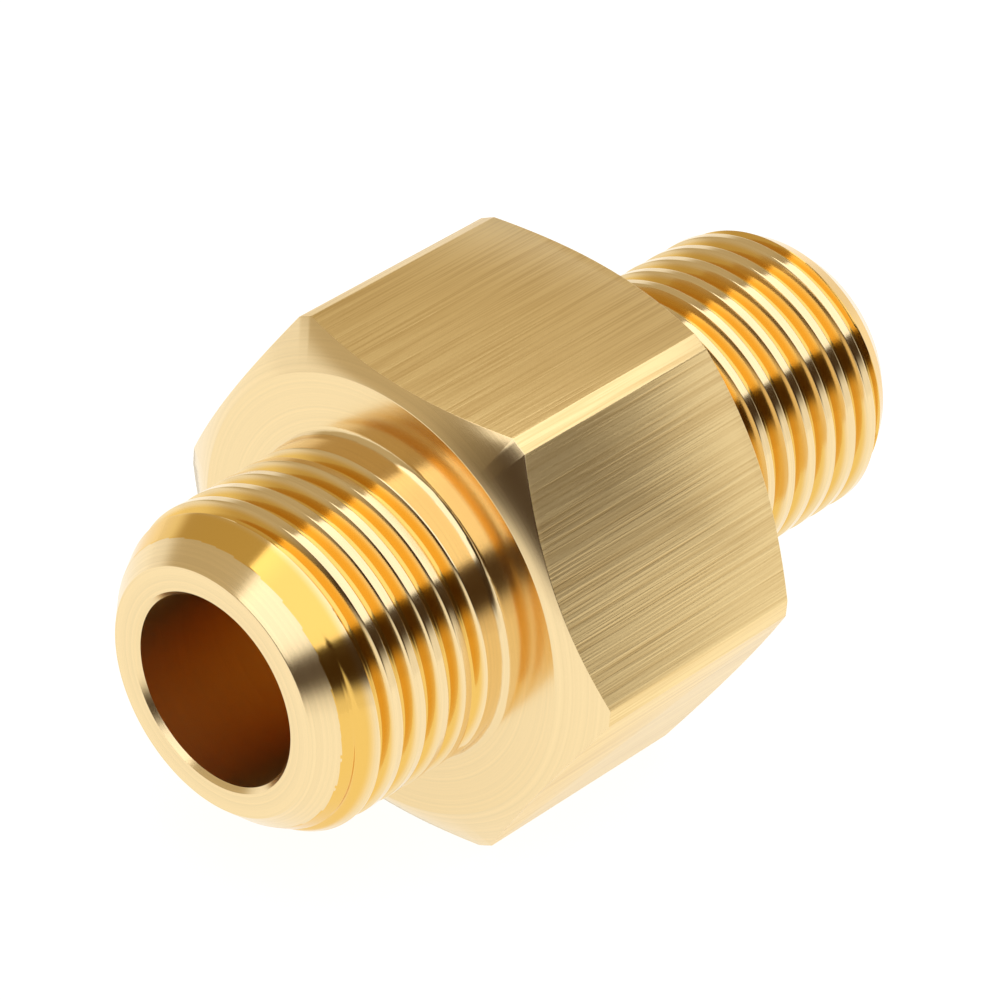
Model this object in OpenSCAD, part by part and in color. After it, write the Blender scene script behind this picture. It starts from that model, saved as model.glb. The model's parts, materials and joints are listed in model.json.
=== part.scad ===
// Reducing hex nipple: a brass fitting with a wrench hexagon in the middle, a larger male thread on
// one side, a smaller male thread on the other, and one straight waterway through all of it.
//
// The axis of the waterway lies along X, the larger end points to -X and the smaller end to +X.
// The origin is on that axis at the middle of the hexagon, and the fitting lies on one wrench flat.
// The real fitting is turned from one hexagon bar. Its three regions are separate solids here. The root
// of each turned end reaches a little way into the hexagon, so each washer face is a free ring.

/* [Hexagon] */
// Distance across the flats
hex_af = 32; // [30:0.5:36]
// Length of the hexagon between its two washer faces
hex_len = 20; // [14:0.5:30]
// Diameter of the round washer face at each end of the hexagon
washer_d = 30.2; // [28:0.1:30.2]
// How far each of the six corners is trimmed back towards the axis
corner_trim = 0.35; // [0.2:0.05:0.6]

/* [Larger male end] */
// Outside diameter of the larger thread
large_d = 22; // [20:0.5:24]
// Length of the larger end from the washer face
large_len = 14.5; // [13:0.5:22]
// Thread turn, as the angle at which its groove starts
large_start = 215; // [0:5:355]

/* [Smaller male end] */
// Outside diameter of the smaller thread
small_d = 20; // [19:0.5:22]
// Length of the smaller end from the washer face
small_len = 20; // [13:0.5:22]
// Thread turn, as the angle at which its groove starts
small_start = 75; // [0:5:355]

/* [Thread and neck] */
// Pitch of both threads
pitch = 2; // [1.5:0.25:2]
// Distance from the washer face to the middle of the groove where it starts
neck_len = 2; // [1.6:0.1:3]
// Radius of the fillet where the plain neck meets the washer face
neck_fillet = 0.5; // [0.2:0.1:0.6]

/* [Waterway] */
// Diameter of the straight bore
bore_d = 13; // [10:0.5:13]
// Size of the 45 degree chamfer at each mouth of the bore
mouth_chamfer = 0.3; // [0.2:0.05:0.6]

/* [Hidden] */

$fn = 120;
brass = [0.86, 0.70, 0.36];
chamfer_angle = 30;                 // hexagon end chamfer, measured from the washer face
flank = tan(30);                    // each flank of the 60 degree thread leans by this much
lead_angle = 30;                    // lead-in cone over the first turns, measured from the axis
crest_w = 0.3 * pitch;              // flat left on the crest
thread_h = 0.45 * pitch;            // depth of the thread
cutter_over = 0.1;                  // the groove cutter stands proud of the crest
nose_drop = 1.2;                    // the ridge between the two nose cones lies below the crest
nose_step = 1.4;                    // radial height of the steep 45 degree cone at the nose
root_depth = 2;                     // the root of a male end reaches this far into the hexagon
steps_per_turn = 40;                // flats around one turn of the thread groove
past = 1;                           // overrun of a cut past the face it opens
hex_corner_r = hex_af / 2 / cos(30) - corner_trim;

// One cross-section of the groove cutter, turned by angle a and lifted to z
function groove_ring(d, a, z) =
    let (outer = d / 2 + cutter_over,
         inner = d / 2 - thread_h,
         half_out = (pitch - crest_w) / 2 + cutter_over * flank,
         half_in = (pitch - crest_w) / 2 - thread_h * flank)
    [for (p = [[outer, -half_out], [outer, half_out], [inner, half_in], [inner, -half_in]])
        [p[0] * cos(a), p[0] * sin(a), z + p[1]]];

// The helical groove between two turns of thread, right handed, from height z0 up to z1
module groove_cutter(d, z0, z1, start) {
    n = ceil((z1 - z0) / pitch * steps_per_turn);
    rings = [for (i = [0:n]) groove_ring(d, start + i * 360 / steps_per_turn,
                                         z0 + i * pitch / steps_per_turn)];
    points = [for (ring = rings) for (p = ring) p];
    sides = [for (i = [0:n - 1]) for (k = [0:3])
        let (a = 4 * i + k, b = 4 * i + (k + 1) % 4)
        for (tri = [[a, b, a + 4], [b, b + 4, a + 4]]) tri];
    last = 4 * n;
    ends = [[2, 1, 0], [3, 2, 0], [last, last + 1, last + 2], [last, last + 2, last + 3]];
    polyhedron(points, concat(sides, ends), convexity = 10);
}

// Quarter-round outline of the fillet in the corner between the neck and the washer face
function fillet_arc(r, f) = [for (a = [0:15:90]) [r + f - f * sin(a), f - f * cos(a)]];

// Turned and bored blank of a male end, root below z = 0, washer face at z = 0 and nose at z = len
module turned_blank(d, len) {
    bore_r = bore_d / 2;
    ridge_r = d / 2 - nose_drop;
    ridge_z = len - nose_step;
    rotate_extrude()
        polygon(concat(
            [[bore_r, -root_depth],
             [d / 2 + neck_fillet, -root_depth]],
            fillet_arc(d / 2, neck_fillet),
            [[d / 2, ridge_z - nose_drop / tan(lead_angle)],
             [ridge_r, ridge_z],
             [ridge_r - nose_step, len],
             [bore_r + mouth_chamfer, len],
             [bore_r, len - mouth_chamfer]]));
}

// Male end along +Z: the bored blank with its thread groove
module male_end(d, len, start) {
    difference() {
        turned_blank(d, len);
        groove_cutter(d, neck_len, len + past, start);
    }
}

// Wrench hexagon along +Z, centred, with trimmed corners and a cone chamfer at both ends
module hex_bar() {
    cone_h = (hex_corner_r - washer_d / 2) * tan(chamfer_angle);
    intersection() {
        cylinder(r = hex_af / 2 / cos(30), h = hex_len, center = true, $fn = 6);
        rotate([0, 0, 30])
            cylinder(r = hex_corner_r / cos(30), h = hex_len, center = true, $fn = 6);
        rotate_extrude()
            polygon([[0, -hex_len / 2],
                     [washer_d / 2, -hex_len / 2],
                     [hex_corner_r + past, cone_h + past * tan(chamfer_angle) - hex_len / 2],
                     [hex_corner_r + past, hex_len / 2 - cone_h - past * tan(chamfer_angle)],
                     [washer_d / 2, hex_len / 2],
                     [0, hex_len / 2]]);
    }
}

// Seat for the root of a male end of diameter d, in the end of the hexagon at +Z
module root_seat(d) {
    translate([0, 0, hex_len / 2 - root_depth])
        cylinder(r = d / 2 + neck_fillet, h = root_depth + past);
}

module hex_body() {
    color(brass)
        rotate([0, 90, 0])
            difference() {
                rotate([0, 0, 30])
                    hex_bar();
                cylinder(d = bore_d, h = hex_len + 2 * past, center = true);
                root_seat(small_d);
                rotate([180, 0, 0])
                    root_seat(large_d);
            }
}

module large_male_end() {
    color(brass)
        translate([-hex_len / 2, 0, 0])
            rotate([0, -90, 0])
                male_end(large_d, large_len, large_start);
}

module small_male_end() {
    color(brass)
        translate([hex_len / 2, 0, 0])
            rotate([0, 90, 0])
                male_end(small_d, small_len, small_start);
}

hex_body();
large_male_end();
small_male_end();
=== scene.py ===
"""Looks of a brass reducing hex nipple: a drawn and turned hexagon between two threaded male ends.

Each piece is modelled in millimetres along its own axis, then scaled to metres and put where the CAD
node is.
"""

import json
import math

import bmesh
import bpy
from bpy.props import FloatProperty, FloatVectorProperty, IntProperty, PointerProperty
from bpy.types import Operator, Panel, PropertyGroup
from mathutils import Matrix, Vector


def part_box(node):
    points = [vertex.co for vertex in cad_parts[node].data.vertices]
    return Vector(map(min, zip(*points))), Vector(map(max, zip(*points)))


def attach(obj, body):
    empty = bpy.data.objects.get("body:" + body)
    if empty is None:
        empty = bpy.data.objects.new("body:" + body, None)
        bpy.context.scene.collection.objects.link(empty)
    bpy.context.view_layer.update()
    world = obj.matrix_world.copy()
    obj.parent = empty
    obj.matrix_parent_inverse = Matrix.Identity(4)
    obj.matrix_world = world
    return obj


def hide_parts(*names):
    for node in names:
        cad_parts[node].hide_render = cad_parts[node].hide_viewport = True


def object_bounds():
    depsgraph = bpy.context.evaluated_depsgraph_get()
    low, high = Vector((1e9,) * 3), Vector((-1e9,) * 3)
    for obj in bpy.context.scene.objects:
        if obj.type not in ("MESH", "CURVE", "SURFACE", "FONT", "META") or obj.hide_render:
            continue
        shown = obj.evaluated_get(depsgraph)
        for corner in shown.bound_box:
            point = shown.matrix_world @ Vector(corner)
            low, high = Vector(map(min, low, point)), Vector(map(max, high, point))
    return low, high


bl_info = {
    "name": "Reducing Hex Nipple",
    "version": (1, 0, 0),
    "blender": (4, 5, 0),
    "location": "3D View > Sidebar > Nipple",
    "description": "Builds a machined brass reducing hex nipple and its light table",
    "category": "Add Mesh",
}

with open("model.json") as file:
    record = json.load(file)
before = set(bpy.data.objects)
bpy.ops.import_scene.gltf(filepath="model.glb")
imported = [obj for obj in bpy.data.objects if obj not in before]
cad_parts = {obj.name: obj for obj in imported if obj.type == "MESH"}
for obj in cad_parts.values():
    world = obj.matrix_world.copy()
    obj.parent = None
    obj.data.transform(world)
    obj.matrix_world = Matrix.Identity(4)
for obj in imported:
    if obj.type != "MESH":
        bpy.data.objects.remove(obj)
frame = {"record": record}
CAD_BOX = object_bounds()

MM = 0.001
MOUNTS = {mount["name"]: mount for mount in frame["record"]["mounts"]}
HEX_LOW, HEX_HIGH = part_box("hex_body")
LARGE_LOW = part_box("large_male_end")[0]
SMALL_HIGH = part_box("small_male_end")[1]
BORE_R = MOUNTS["waterway"]["dims"]["r_mm"]
# Rays that leave towards the lights, so that a groove still mirrors its own far side
GLOSSY_BOUNCES = 8


def linear(hex_colour):
    """An sRGB hex value as linear red, green and blue."""
    channels = [int(hex_colour[i:i + 2], 16) / 255 for i in (1, 3, 5)]
    return tuple(c / 12.92 if c <= 0.04045 else ((c + 0.055) / 1.055) ** 2.4 for c in channels)


# ---------------------------------------------------------------- sizes and colours


class HexagonSizes(PropertyGroup):
    washer_r: FloatProperty(
        name="Washer face radius", description="Radius of the round washer face at each end",
        default=15.1 * MM, unit="LENGTH")
    chamfer_deg: FloatProperty(
        name="Chamfer", description="Angle of the end chamfer from the washer face, in degrees",
        default=30.0)
    edge: FloatProperty(
        name="Edge break", description="Width of the broken edges of the hexagon",
        default=0.05 * MM, unit="LENGTH")
    facets: IntProperty(name="Facets", description="Facets round the cone chamfers", default=360)


class ThreadSizes(PropertyGroup):
    pitch: FloatProperty(
        name="Pitch", description="Distance from crest to crest", default=2.0 * MM, unit="LENGTH")
    depth: FloatProperty(
        name="Depth", description="Depth of the groove below the crest", default=0.9 * MM, unit="LENGTH")
    crest: FloatProperty(
        name="Crest flat", description="Width of the flat left on the crest", default=0.6 * MM,
        unit="LENGTH")
    crest_round: FloatProperty(
        name="Crest edge", description="Radius of the broken crest edges", default=0.09 * MM,
        unit="LENGTH")
    root_round: FloatProperty(
        name="Root", description="Radius of the groove's rounded root", default=0.3 * MM, unit="LENGTH")
    neck: FloatProperty(
        name="Neck", description="From the washer face to the middle of the groove where it starts",
        default=2.0 * MM, unit="LENGTH")
    run_out: FloatProperty(
        name="Run-out", description="Share of a turn over which the groove reaches its depth", default=0.2)
    large_turn_deg: FloatProperty(
        name="Larger thread turn", description="Angle at which the larger groove starts", default=215.0)
    small_turn_deg: FloatProperty(
        name="Smaller thread turn", description="Angle at which the smaller groove starts", default=75.0)
    facets: IntProperty(name="Facets", description="Facets in one turn of thread", default=240)


class EndSizes(PropertyGroup):
    fillet: FloatProperty(
        name="Neck fillet", description="Radius between the neck and the washer face", default=0.5 * MM,
        unit="LENGTH")
    nose_drop: FloatProperty(
        name="Nose drop", description="Depth of the ridge between the nose cones below the crest",
        default=1.2 * MM, unit="LENGTH")
    nose_step: FloatProperty(
        name="Nose step", description="Radial height of the steep cone at the nose", default=1.4 * MM,
        unit="LENGTH")
    lead_deg: FloatProperty(
        name="Lead-in", description="Angle of the lead-in cone from the axis, in degrees", default=30.0)
    mouth: FloatProperty(
        name="Mouth chamfer", description="Size of the chamfer at the mouth of the bore", default=0.3 * MM,
        unit="LENGTH")
    edge: FloatProperty(
        name="Edge break", description="Radius of the broken edges of the nose", default=0.12 * MM,
        unit="LENGTH")


class BrassAndPaintedReflectionColours(PropertyGroup):
    bright: FloatVectorProperty(
        name="Bright brass", description="Freshly cut brass", subtype="COLOR",
        default=linear("#F7DDAA"))
    drawn: FloatVectorProperty(
        name="Drawn brass", description="Brass with its drawn skin", subtype="COLOR",
        default=linear("#F6DA9E"))
    streak: FloatVectorProperty(
        name="Draw line", description="The bottom of a draw line", subtype="COLOR",
        default=linear("#E2C285"))
    # Painted reflection: the orange that light takes on between the thread's flanks, painted into the groove's
    # colour; it is not a colour of the brass
    groove: FloatVectorProperty(
        name="Groove", description="Brass deep in the thread", subtype="COLOR",
        default=linear("#EBBF64"))
    bored: FloatVectorProperty(
        name="Bored brass", description="The wall of the waterway", subtype="COLOR",
        default=linear("#F2D294"))


class StageSettings(PropertyGroup):
    azimuth: FloatProperty(
        name="Azimuth", description="Heading of the view, clockwise from +Y, in degrees", default=49.59)
    elevation: FloatProperty(
        name="Elevation", description="Height of the camera above the horizon, in degrees", default=36.65)
    roll: FloatProperty(name="Roll", description="Turn about the view axis, in degrees", default=-4.71)
    distance: FloatProperty(
        name="Distance", description="From the camera to the point it looks at", default=380.4 * MM,
        unit="LENGTH")
    lens: FloatProperty(name="Lens", description="Focal length, in millimetres", default=216.0)
    aim: FloatVectorProperty(
        name="Aim", description="The point that the camera looks at", subtype="TRANSLATION",
        default=(1.4 * MM, 0.3 * MM, 1.6 * MM))
    softbox: FloatVectorProperty(
        name="Softbox", description="Colour and strength of the overhead softbox", subtype="COLOR", soft_max=4,
        default=(1.35, 1.38, 1.45))
    table: FloatVectorProperty(
        name="Table", description="The light table", subtype="COLOR", default=linear("#FCFCFA"))
    near_ceiling: FloatVectorProperty(
        name="Near ceiling", description="The ceiling towards -X", subtype="COLOR",
        default=(0.58, 0.49, 0.34))
    far_ceiling: FloatVectorProperty(
        name="Far ceiling", description="The ceiling towards +X", subtype="COLOR",
        default=(0.54, 0.45, 0.3))
    glow: FloatVectorProperty(
        name="Glow", description="The lit floor round the table", subtype="COLOR",
        default=(1.0, 0.98, 0.95))
    dark: FloatVectorProperty(
        name="Dark band", description="The unlit band above the lit floor", subtype="COLOR",
        default=(0.05, 0.027, 0.009))


# ---------------------------------------------------------------- materials


# The darkest tool line keeps this share of the colour of its metal
DULL_SHARE = 0.86
# Depths below the crest, in millimetres, between which the painted orange reflection of the groove takes over
# from the brass colour
PAINTED_REFLECTION_DEEP, PAINTED_REFLECTION_SHALLOW = 0.45, 0.05
# Range of the summed noise over which a draw line turns from dark to light
STREAK_SPAN = (0.75, 1.1)
DRAW_BUMP = 0.014 * MM


def add(tree, kind, inputs=(), **settings):
    """Adds a node to the tree, sets its properties, and sets or links its inputs by name or number."""
    node = tree.nodes.new(kind)
    for name, value in settings.items():
        setattr(node, name, value)
    for name, value in dict(inputs).items():
        if isinstance(value, bpy.types.NodeSocket):
            tree.links.new(value, node.inputs[name])
        else:
            node.inputs[name].default_value = value
    return node


def metal(name, roughness):
    """A metal with nothing but its roughness set: (material, its node tree, its shader)."""
    material = bpy.data.materials.new(name)
    material.use_nodes = True
    tree = material.node_tree
    shader = tree.nodes["Principled BSDF"]
    shader.inputs["Metallic"].default_value = 1.0
    shader.inputs["Roughness"].default_value = roughness
    return material, tree, shader


def ring_coordinates(tree):
    """Distance along the axis and from it, as a vector, so that a pattern runs in rings."""
    place = add(tree, "ShaderNodeTexCoord").outputs["Object"]
    split = add(tree, "ShaderNodeSeparateXYZ", {0: place})
    across = add(tree, "ShaderNodeCombineXYZ", {"Y": split.outputs["Y"], "Z": split.outputs["Z"]})
    radius = add(tree, "ShaderNodeVectorMath", {0: across.outputs[0]}, operation="LENGTH")
    rings = add(tree, "ShaderNodeCombineXYZ", {"X": split.outputs["X"], "Y": radius.outputs["Value"]})
    return rings.outputs[0]


def colour_mix(tree, factor, low, high):
    """Colour that runs from low to high with the factor."""
    mix = tree.nodes.new("ShaderNodeMix")
    mix.data_type = "RGBA"
    tree.links.new(factor, mix.inputs["Factor"])
    for number, colour in ((6, low), (7, high)):
        if isinstance(colour, bpy.types.NodeSocket):
            tree.links.new(colour, mix.inputs[number])
        else:
            mix.inputs[number].default_value = (*colour, 1)
    return mix.outputs[2]


def turned_brass(name, colour, line_mm, depth_mm, roughness, groove=None):
    """Brass cut on a lathe: the tool leaves fine rings round the axis, which stretch each highlight
    across them, and the metal between them is bright and clean."""
    material, tree, shader = metal(name, roughness)
    rings = ring_coordinates(tree)
    lines = add(tree, "ShaderNodeTexNoise",
                {"Vector": rings, "Scale": 1 / (line_mm * MM), "Detail": 2.0, "Roughness": 0.7},
                noise_dimensions="2D")
    dull = [c * DULL_SHARE for c in colour]
    skin = colour_mix(tree, lines.outputs["Fac"], dull, colour)
    if groove:
        # Painted reflection: deep in a groove the colour turns orange, standing in for light that has met the
        # metal several times before it reaches the eye
        deep, crest_r = groove
        radius = add(tree, "ShaderNodeSeparateXYZ", {0: rings}).outputs["Y"]
        low, high = (crest_r - PAINTED_REFLECTION_DEEP) * MM, (crest_r - PAINTED_REFLECTION_SHALLOW) * MM
        skin = colour_mix(tree, ramp(tree, radius, low, high), deep, skin)
    tree.links.new(skin, shader.inputs["Base Color"])
    bump = add(tree, "ShaderNodeBump",
               {"Height": lines.outputs["Fac"], "Strength": 1.0, "Distance": depth_mm * MM})
    tree.links.new(bump.outputs[0], shader.inputs["Normal"])
    return material


def draw_lines(tree, place, width_mm, stretch):
    """Noise in lines of about that width, which run along the bar for the width over the stretch."""
    along = add(tree, "ShaderNodeMapping", {"Vector": place, "Scale": (stretch, 1, 1)})
    return add(tree, "ShaderNodeTexNoise",
               {"Vector": along.outputs[0], "Scale": 1 / (width_mm * MM), "Detail": 2.0, "Roughness": 0.6})


def drawn_brass(colours):
    """Hexagon bar as drawn through its die: straight lines run the length of each flat, and the light
    breaks up across them into bright and dark streaks."""
    material, tree, shader = metal("drawn_brass_flat", 0.33)
    place = add(tree, "ShaderNodeTexCoord").outputs["Object"]
    broad = draw_lines(tree, place, 0.32, 0.015)
    fine = draw_lines(tree, place, 0.13, 0.012)
    height = add(tree, "ShaderNodeMath",
                 {0: broad.outputs["Fac"], 1: fine.outputs["Fac"]}, operation="ADD")
    shade = add(tree, "ShaderNodeMapRange",
                {"Value": height.outputs[0], "From Min": STREAK_SPAN[0], "From Max": STREAK_SPAN[1]})
    tree.links.new(colour_mix(tree, shade.outputs[0], colours.streak, colours.drawn),
                   shader.inputs["Base Color"])
    bump = add(tree, "ShaderNodeBump",
               {"Height": height.outputs[0], "Strength": 1.0, "Distance": DRAW_BUMP})
    tree.links.new(bump.outputs[0], shader.inputs["Normal"])
    return material


def hexagon_finishes(colours):
    """Materials of the hexagon in the order of its face numbers: flats, turned ends, bore."""
    return [drawn_brass(colours),
            turned_brass("turned_brass_face", colours.bright, 0.25, 0.0012, 0.17),
            turned_brass("bored_brass_wall", colours.bored, 0.3, 0.0015, 0.26)]


def end_finishes(colours, crest_r):
    """Materials of a male end in the order of its face numbers: thread, turned nose, bore."""
    # The thread's colour turns to the painted orange groove reflection below its crest
    return [turned_brass("thread_cut_brass_painted_reflection", colours.bright, 0.12, 0.0005, 0.13,
                         (colours.groove, crest_r)),
            turned_brass("turned_brass_nose", colours.bright, 0.2, 0.001, 0.2),
            turned_brass("bored_brass_wall", colours.bored, 0.3, 0.0015, 0.26)]


# ---------------------------------------------------------------- geometry


AXIS = Vector((1, 0, 0))
FLAT, TURNED, BORED = 0, 1, 2
THREAD = 0
CLOSE = 1e-4
SHARP_DEG = 28
# Width over which the thread's crest blends into a nose cone
SOFT = 0.08
# Metal of the turned blank outside the corners of the hexagon
BLANK_SPARE = 0.5
# Edges of the hexagon that turn by more than this are broken, if they are this far from the bore
BREAK_DEG = 15
BORE_CLEAR = 1
# Lines of the thread form longer than this are divided, so that the blank's outline can bend them
LONG_LINE = 0.15
# The wound thread starts this many turns before the washer face, and has this many over its length
TURNS_BEFORE = 2.5
TURNS_OVER = 4


def wire(bm, outline):
    """Joins the (x, radius) points into a line above the axis."""
    points = [bm.verts.new((x, r, 0)) for x, r in outline]
    return [bm.edges.new(pair) for pair in zip(points, points[1:])]


def arc(centre, radius, start_deg, end_deg, count):
    """Points of a circular arc in the (x, radius) plane."""
    angles = [math.radians(start_deg + (end_deg - start_deg) * i / count) for i in range(count + 1)]
    return [(centre[0] + radius * math.cos(a), centre[1] + radius * math.sin(a)) for a in angles]


def cut_across(bm, x, **clear):
    """Cuts the mesh along the plane across the axis at x."""
    geometry = bm.verts[:] + bm.edges[:] + bm.faces[:]
    bmesh.ops.bisect_plane(bm, geom=geometry, dist=CLOSE, plane_co=(x, 0, 0), plane_no=AXIS, **clear)


def rim(bm, x):
    """The open edges that lie in the plane across the axis at x."""
    return [e for e in bm.edges if e.is_boundary and all(abs(v.co.x - x) < CLOSE for v in e.verts)]


def to_radius(vert, radius):
    """Moves a vertex straight out from the axis to that radius."""
    scale = radius / math.hypot(vert.co.y, vert.co.z)
    vert.co.y *= scale
    vert.co.z *= scale


def extend_rim(bm, edges, x, radius, material):
    """Grows the surface from its open rim to a ring at x with that radius, and gives the new rim."""
    grown = bmesh.ops.extrude_edge_only(bm, edges=edges)["geom"]
    for vert in (g for g in grown if isinstance(g, bmesh.types.BMVert)):
        vert.co.x = x
        to_radius(vert, radius)
    for face in (g for g in grown if isinstance(g, bmesh.types.BMFace)):
        face.material_index = material
    return [g for g in grown if isinstance(g, bmesh.types.BMEdge) and g.is_boundary]


def finish_piece(bm, name, place, finishes, node):
    """Turns the mesh into the piece that stands for the CAD node."""
    bmesh.ops.transform(bm, matrix=place @ Matrix.Scale(MM, 4), verts=bm.verts)
    bmesh.ops.recalc_face_normals(bm, faces=bm.faces)
    for face in bm.faces:
        face.smooth = True
    for edge in bm.edges:
        edge.smooth = edge.calc_face_angle(math.pi) < math.radians(SHARP_DEG)
    mesh = bpy.data.meshes.new(name)
    bm.to_mesh(mesh)
    bm.free()
    for material in finishes:
        mesh.materials.append(material)
    piece = bpy.data.objects.new(name, mesh)
    bpy.context.scene.collection.objects.link(piece)
    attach(piece, "root")
    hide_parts(node)


def hexagon_mesh(sizes):
    """A turned blank with both end chamfers, then the flats and corners cut from it."""
    half_len = (HEX_HIGH.x - HEX_LOW.x) / 2 / MM
    flat_r = HEX_HIGH.z / MM
    corner_r = HEX_HIGH.y / MM
    washer_r = sizes.washer_r / MM
    blank_r = corner_r + BLANK_SPARE
    drop = (blank_r - washer_r) * math.tan(math.radians(sizes.chamfer_deg))
    bm = bmesh.new()
    outline = [(-half_len, BORE_R), (-half_len, washer_r), (drop - half_len, blank_r),
               (half_len - drop, blank_r), (half_len, washer_r), (half_len, BORE_R), (-half_len, BORE_R)]
    edges = wire(bm, outline)
    bmesh.ops.spin(bm, geom=bm.verts[:] + edges, cent=(0, 0, 0), axis=AXIS, angle=math.tau,
                   steps=sizes.facets, use_merge=True)
    bmesh.ops.remove_doubles(bm, verts=bm.verts, dist=CLOSE)
    bmesh.ops.recalc_face_normals(bm, faces=bm.faces)
    for face in bm.faces:
        face.material_index = TURNED
        if all(math.hypot(v.co.y, v.co.z) < BORE_R + CLOSE for v in face.verts):
            face.material_index = BORED
    for i in range(12):
        outward = Matrix.Rotation(math.radians(30 * i), 3, "X") @ Vector((0, 0, 1))
        reach = corner_r if i % 2 else flat_r
        cut = bmesh.ops.bisect_plane(bm, geom=bm.verts[:] + bm.edges[:] + bm.faces[:], dist=CLOSE,
                                     plane_co=outward * reach, plane_no=outward, clear_outer=True)
        ring = [g for g in cut["geom_cut"] if isinstance(g, bmesh.types.BMEdge)]
        for face in bmesh.ops.edgeloop_fill(bm, edges=ring)["faces"]:
            face.material_index = FLAT
    return bm


def break_edges(bm, width):
    """Takes the sharpness off every outside edge of the hexagon."""
    edges = [e for e in bm.edges
             if e.calc_face_angle(0) > math.radians(BREAK_DEG)
             and min(math.hypot(v.co.y, v.co.z) for v in e.verts) > BORE_R + BORE_CLEAR]
    bmesh.ops.bevel(bm, geom=edges, offset=width, offset_type="OFFSET", segments=2, profile=0.5,
                    affect="EDGES", material=-1, clamp_overlap=True)


class Blank:
    """A male end before its thread is cut: x runs from the washer face to the nose."""

    def __init__(self, ends, crest_r, length):
        self.length = length
        self.crest_r = crest_r
        self.fillet = ends.fillet / MM
        self.ridge_r = crest_r - ends.nose_drop / MM
        self.ridge_x = length - ends.nose_step / MM
        self.nose_r = self.ridge_r - ends.nose_step / MM
        self.lead_x = self.ridge_x - (crest_r - self.ridge_r) / math.tan(math.radians(ends.lead_deg))
        self.edge = ends.edge / MM
        self.mouth = ends.mouth / MM

    def outline(self):
        """(x, radius) points from the washer face to the nose."""
        fillet = arc((self.fillet, self.crest_r + self.fillet), self.fillet, 180, 270, 9)
        turn = arc((self.ridge_x - self.edge, self.ridge_r - self.edge), self.edge, 60, 45, 3)
        nose = arc((self.length - self.edge, self.nose_r), self.edge, 45, 0, 4)
        return [*fillet, (self.lead_x, self.crest_r), *turn, *nose]


def radius_at(outline, x):
    """Radius of the outline at x, along the straight lines between its points."""
    for (x0, r0), (x1, r1) in zip(outline, outline[1:]):
        if x0 <= x <= x1:
            return r0 + (r1 - r0) * (x - x0) / max(x1 - x0, CLOSE / 100)
    return outline[0][1] if x < outline[0][0] else outline[-1][1]


def soft_min(a, b, blend):
    """The smaller of two radii, with the corner between them rounded."""
    near = max(blend - abs(a - b), 0) / blend
    return min(a, b) - near * near * blend / 4


def thread_form(thread, crest_r):
    """Outline of one pitch from groove to groove: half root, flank, crest, flank, half root."""
    half = thread.pitch / MM / 2
    crest = thread.crest / MM / 2
    root_r = crest_r - thread.depth / MM
    lean = math.tan(math.radians(30))
    foot = crest + (crest_r - root_r) * lean
    tip = thread.crest_round / MM
    low = min(thread.root_round / MM * lean, half - foot)
    rise = arc((-foot - low, root_r + low / lean), low / lean, 270, 330, 5)
    top = arc((-crest + tip * lean, crest_r - tip), tip, 150, 90, 4)
    left = [(-half, root_r), *rise, *top]
    right = [(-x, r) for x, r in reversed(left)]
    return left + right


def turns_cut(vert, thread, turn_deg):
    """Turns of thread from where the groove starts to the point of it that is nearest the vertex."""
    pitch = thread.pitch / MM
    lead = (math.degrees(math.atan2(vert.co.z, vert.co.y)) + turn_deg) / 360
    return round((vert.co.x - thread.neck / MM) / pitch - lead) + lead


def wound_thread(thread, crest_r, length, turn_deg):
    """Winds one turn of thread form and stacks enough turns to cover the length."""
    pitch = thread.pitch / MM
    bm = bmesh.new()
    edges = wire(bm, thread_form(thread, crest_r))
    bmesh.ops.subdivide_edges(bm, edges=[e for e in edges if e.calc_length() > LONG_LINE], cuts=5)
    groove_x = (thread.neck / MM + turn_deg / 360 * pitch) % pitch
    bmesh.ops.translate(bm, verts=bm.verts, vec=(groove_x - TURNS_BEFORE * pitch, 0, 0))
    bmesh.ops.spin(bm, geom=bm.verts[:] + bm.edges[:], cent=(0, 0, 0), axis=AXIS, angle=math.tau,
                   steps=thread.facets, dvec=(pitch / thread.facets, 0, 0))
    turn = bm.verts[:] + bm.edges[:] + bm.faces[:]
    for i in range(1, math.ceil(length / pitch) + TURNS_OVER):
        copy = bmesh.ops.duplicate(bm, geom=turn)["geom"]
        moved = [g for g in copy if isinstance(g, bmesh.types.BMVert)]
        bmesh.ops.translate(bm, verts=moved, vec=(i * pitch, 0, 0))
    bmesh.ops.remove_doubles(bm, verts=bm.verts, dist=CLOSE * 5)
    return bm


def male_end_mesh(ends, thread, crest_r, length, turn_deg):
    """Turns the wound thread down to the blank's outline, then closes it round the bore."""
    blank = Blank(ends, crest_r, length)
    bm = wound_thread(thread, crest_r, length, turn_deg)
    outline = blank.outline()
    cut_across(bm, 0, clear_inner=True)
    cut_across(bm, length, clear_outer=True)
    for x, _ in outline[1:-1]:
        cut_across(bm, x)
    for vert in bm.verts:
        limit = radius_at(outline, vert.co.x)
        depth = crest_r - math.hypot(vert.co.y, vert.co.z)
        share = min(max(turns_cut(vert, thread, turn_deg) / thread.run_out, 0), 1)
        cut = crest_r - depth * share * share * (3 - 2 * share)
        if limit > crest_r - CLOSE:
            to_radius(vert, cut + limit - crest_r)
        else:
            to_radius(vert, soft_min(cut, limit, SOFT))
    for face in bm.faces:
        face.material_index = TURNED if face.calc_center_median().x > blank.ridge_x else THREAD
    mouth_r = BORE_R + blank.mouth
    inner = extend_rim(bm, rim(bm, length), length, mouth_r, TURNED)
    inner = extend_rim(bm, inner, length - blank.mouth, BORE_R, TURNED)
    inner = extend_rim(bm, inner, 0, BORE_R, BORED)
    outer = [e for e in rim(bm, 0) if e not in set(inner)]
    for face in bmesh.ops.bridge_loops(bm, edges=inner + outer)["faces"]:
        face.material_index = TURNED
    return bm


# ---------------------------------------------------------------- operators


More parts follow.
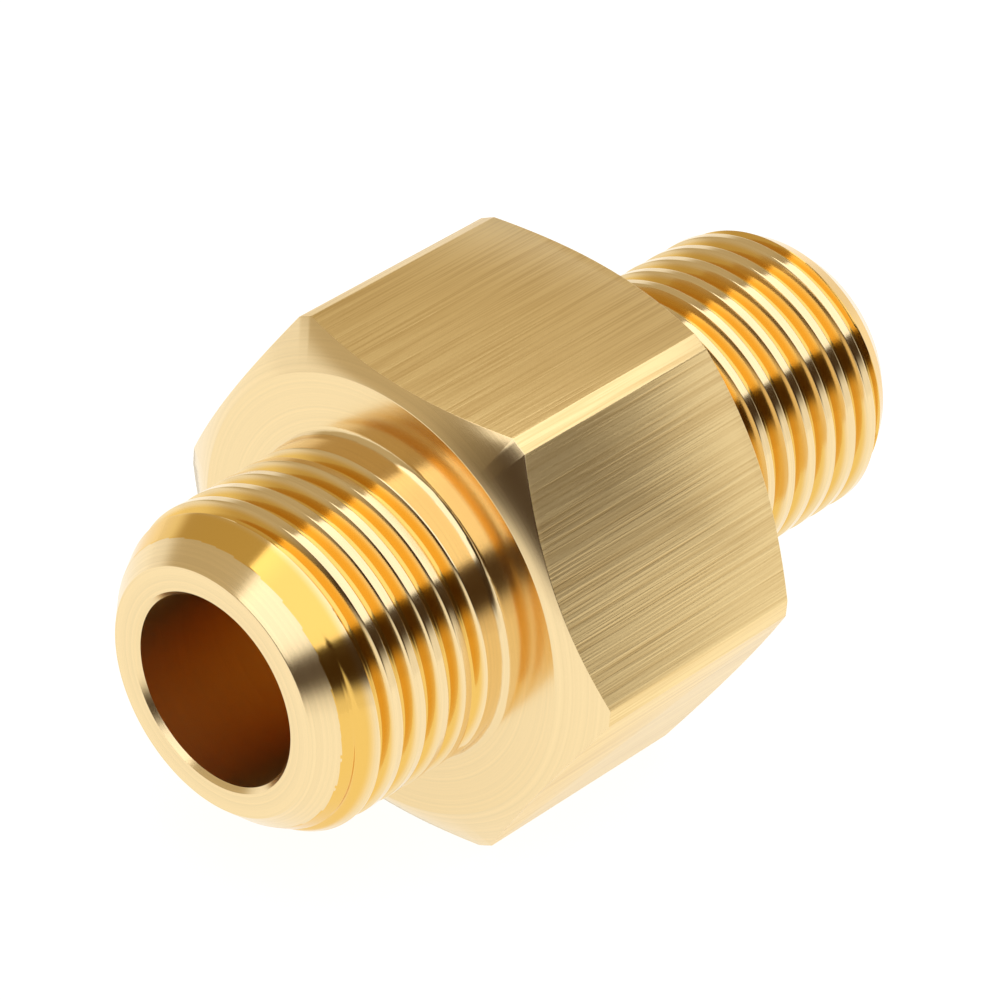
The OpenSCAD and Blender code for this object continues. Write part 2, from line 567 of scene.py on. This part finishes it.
class NIPPLE_OT_hexagon(Operator):
    """Builds the wrench hexagon with its washer faces and chamfers"""
    bl_idname = "nipple.hexagon"
    bl_label = "Hexagon"

    def execute(self, context):
        sizes = context.scene.nipple_hexagon
        bm = hexagon_mesh(sizes)
        break_edges(bm, sizes.edge / MM)
        place = Matrix.Translation(((HEX_LOW.x + HEX_HIGH.x) / 2, 0, 0))
        finishes = hexagon_finishes(context.scene.nipple_colours)
        finish_piece(bm, "wrench_hexagon", place, finishes, "hex_body")
        return {"FINISHED"}


class NIPPLE_OT_male_ends(Operator):
    """Builds the larger and the smaller threaded end"""
    bl_idname = "nipple.male_ends"
    bl_label = "Male ends"

    def execute(self, context):
        scene = context.scene
        ends, thread = scene.nipple_ends, scene.nipple_thread
        back = Matrix.Translation((HEX_LOW.x, 0, 0)) @ Matrix.Rotation(math.pi, 4, "Z")
        rows = (
            ("large", back, (HEX_LOW.x - LARGE_LOW.x) / MM, -90 - thread.large_turn_deg),
            ("small", Matrix.Translation((HEX_HIGH.x, 0, 0)), (SMALL_HIGH.x - HEX_HIGH.x) / MM,
             90 - thread.small_turn_deg),
        )
        for size, place, length, turn_deg in rows:
            crest_r = MOUNTS[size + "_thread"]["dims"]["r_mm"]
            bm = male_end_mesh(ends, thread, crest_r, length, turn_deg)
            finishes = end_finishes(scene.nipple_colours, crest_r)
            finish_piece(bm, size + "_threaded_end", place, finishes, size + "_male_end")
        return {"FINISHED"}


class NIPPLE_OT_stage(Operator):
    """Builds the light table, the softbox, the room and the camera"""
    bl_idname = "nipple.stage"
    bl_label = "Stage"

    def execute(self, context):
        stage = context.scene.nipple_stage
        light_table(stage)
        overhead_softbox(stage)
        room(stage)
        camera(stage)
        context.scene.view_settings.view_transform = "Standard"
        context.scene.cycles.glossy_bounces = GLOSSY_BOUNCES
        return {"FINISHED"}


# ---------------------------------------------------------------- stage


TABLE_R = 0.16
# Gap under the fitting, so that its lowest flat and the table don't share a plane
TABLE_GAP = 0.02 * MM
TABLE_GREY = 0.15
TABLE_ROUGHNESS = 0.6
TABLE_GLOW = 0.96
# Size of the softbox along X and Y, and the place of its middle along X, its far edge and its height
SOFTBOX_WIDTH, SOFTBOX_DEPTH = 1.9, 0.82
SOFTBOX_X, SOFTBOX_FAR_Y, SOFTBOX_Z = -0.05, 0.19, 0.5
# Spans of a view direction over which one part of the room gives way to the next
CEILING_SPAN = (-0.7, 0.2)
BACK_SPAN = (-0.05, 0.5)
GLOW_SPAN = (0.0, 0.22)
# The lit floor's top edge rises towards +X, because this is taken off the height there
GLOW_LEAN = -0.1
CLIP_START = 0.01


def light_table(stage):
    """A pale acrylic table that glows from below, so that it throws next to no shadow."""
    bm = bmesh.new()
    bmesh.ops.create_circle(bm, cap_ends=True, segments=96, radius=TABLE_R)
    bmesh.ops.translate(bm, verts=bm.verts, vec=(0, 0, CAD_BOX[0].z - TABLE_GAP))
    mesh = bpy.data.meshes.new("light_table")
    bm.to_mesh(mesh)
    bm.free()
    material = bpy.data.materials.new("lit_acrylic")
    material.use_nodes = True
    shader = material.node_tree.nodes["Principled BSDF"]
    shader.inputs["Base Color"].default_value = (TABLE_GREY, TABLE_GREY, TABLE_GREY, 1)
    shader.inputs["Roughness"].default_value = TABLE_ROUGHNESS
    shader.inputs["Emission Color"].default_value = (*stage.table, 1)
    shader.inputs["Emission Strength"].default_value = TABLE_GLOW
    mesh.materials.append(material)
    table = bpy.data.objects.new("light_table", mesh)
    bpy.context.scene.collection.objects.link(table)


def overhead_softbox(stage):
    """One large soft light above the near side."""
    data = bpy.data.lights.new("softbox", "AREA")
    data.shape = "RECTANGLE"
    data.size = SOFTBOX_WIDTH
    data.size_y = SOFTBOX_DEPTH
    data.color = stage.softbox
    data.energy = math.pi * SOFTBOX_WIDTH * SOFTBOX_DEPTH
    light = bpy.data.objects.new("softbox", data)
    light.location = (SOFTBOX_X, SOFTBOX_FAR_Y - SOFTBOX_DEPTH / 2, SOFTBOX_Z)
    bpy.context.scene.collection.objects.link(light)


def ramp(tree, value, low, high):
    """0 to 1, smoothly, while the value goes from low to high."""
    return add(tree, "ShaderNodeMapRange", {"Value": value, "From Min": low, "From Max": high},
               interpolation_type="SMOOTHSTEP").outputs[0]


def room(stage):
    """The room that the metal mirrors: the lit floor all round, a dark band above it on the near side that
    rises towards +X, and a warm ceiling behind."""
    world = bpy.data.worlds.new("studio_room")
    world.use_nodes = True
    tree = world.node_tree
    way = add(tree, "ShaderNodeTexCoord").outputs["Generated"]
    split = add(tree, "ShaderNodeSeparateXYZ", {0: way})
    across, back, up = (split.outputs[axis] for axis in "XYZ")
    tilt = add(tree, "ShaderNodeMath", {0: across, 1: GLOW_LEAN, 2: up},
               operation="MULTIPLY_ADD").outputs[0]
    ceiling = colour_mix(tree, ramp(tree, across, *CEILING_SPAN), stage.near_ceiling, stage.far_ceiling)
    above = colour_mix(tree, ramp(tree, back, *BACK_SPAN), stage.dark, ceiling)
    around = colour_mix(tree, ramp(tree, tilt, *GLOW_SPAN), stage.glow, above)
    seen = add(tree, "ShaderNodeLightPath").outputs["Is Camera Ray"]
    tree.links.new(colour_mix(tree, seen, around, stage.table), tree.nodes["Background"].inputs["Color"])
    bpy.context.scene.world = world


def camera(stage):
    """The camera, set by its heading, height, roll and distance from the point it looks at."""
    heading, height, roll = (math.radians(a) for a in (stage.azimuth, stage.elevation, stage.roll))
    view = Vector((math.sin(heading) * math.cos(height), math.cos(heading) * math.cos(height),
                   -math.sin(height)))
    level = Vector((math.cos(heading), -math.sin(heading), 0))
    down = view.cross(level)
    right = level * math.cos(roll) + down * math.sin(roll)
    down = view.cross(right)
    data = bpy.data.cameras.new("camera")
    data.lens = stage.lens
    data.clip_start = CLIP_START
    eye = bpy.data.objects.new("camera", data)
    eye.matrix_world = Matrix.Translation(Vector(stage.aim) - view * stage.distance) @ Matrix(
        (right, -down, -view)).transposed().to_4x4()
    bpy.context.scene.collection.objects.link(eye)
    bpy.context.scene.camera = eye


# ---------------------------------------------------------------- panel and registration


class NIPPLE_PT_panel(Panel):
    """Lists the pieces of the nipple and its stage"""
    bl_idname = "NIPPLE_PT_panel"
    bl_label = "Reducing Hex Nipple"
    bl_space_type = "VIEW_3D"
    bl_region_type = "UI"
    bl_category = "Nipple"

    def draw(self, context):
        for operator in OPERATORS:
            self.layout.operator(operator.bl_idname)


OPERATORS = (NIPPLE_OT_hexagon, NIPPLE_OT_male_ends, NIPPLE_OT_stage)
GROUPS = {
    "nipple_hexagon": HexagonSizes,
    "nipple_thread": ThreadSizes,
    "nipple_ends": EndSizes,
    "nipple_colours": BrassAndPaintedReflectionColours,
    "nipple_stage": StageSettings,
}


def register():
    for cls in (*GROUPS.values(), *OPERATORS, NIPPLE_PT_panel):
        bpy.utils.register_class(cls)
    for name, group in GROUPS.items():
        setattr(bpy.types.Scene, name, PointerProperty(type=group))


def unregister():
    for name in GROUPS:
        delattr(bpy.types.Scene, name)
    for cls in reversed((*GROUPS.values(), *OPERATORS, NIPPLE_PT_panel)):
        bpy.utils.unregister_class(cls)


def main():
    register()
    bpy.ops.nipple.hexagon()
    bpy.ops.nipple.male_ends()
    bpy.ops.nipple.stage()


if __name__ == "__main__":
    main()
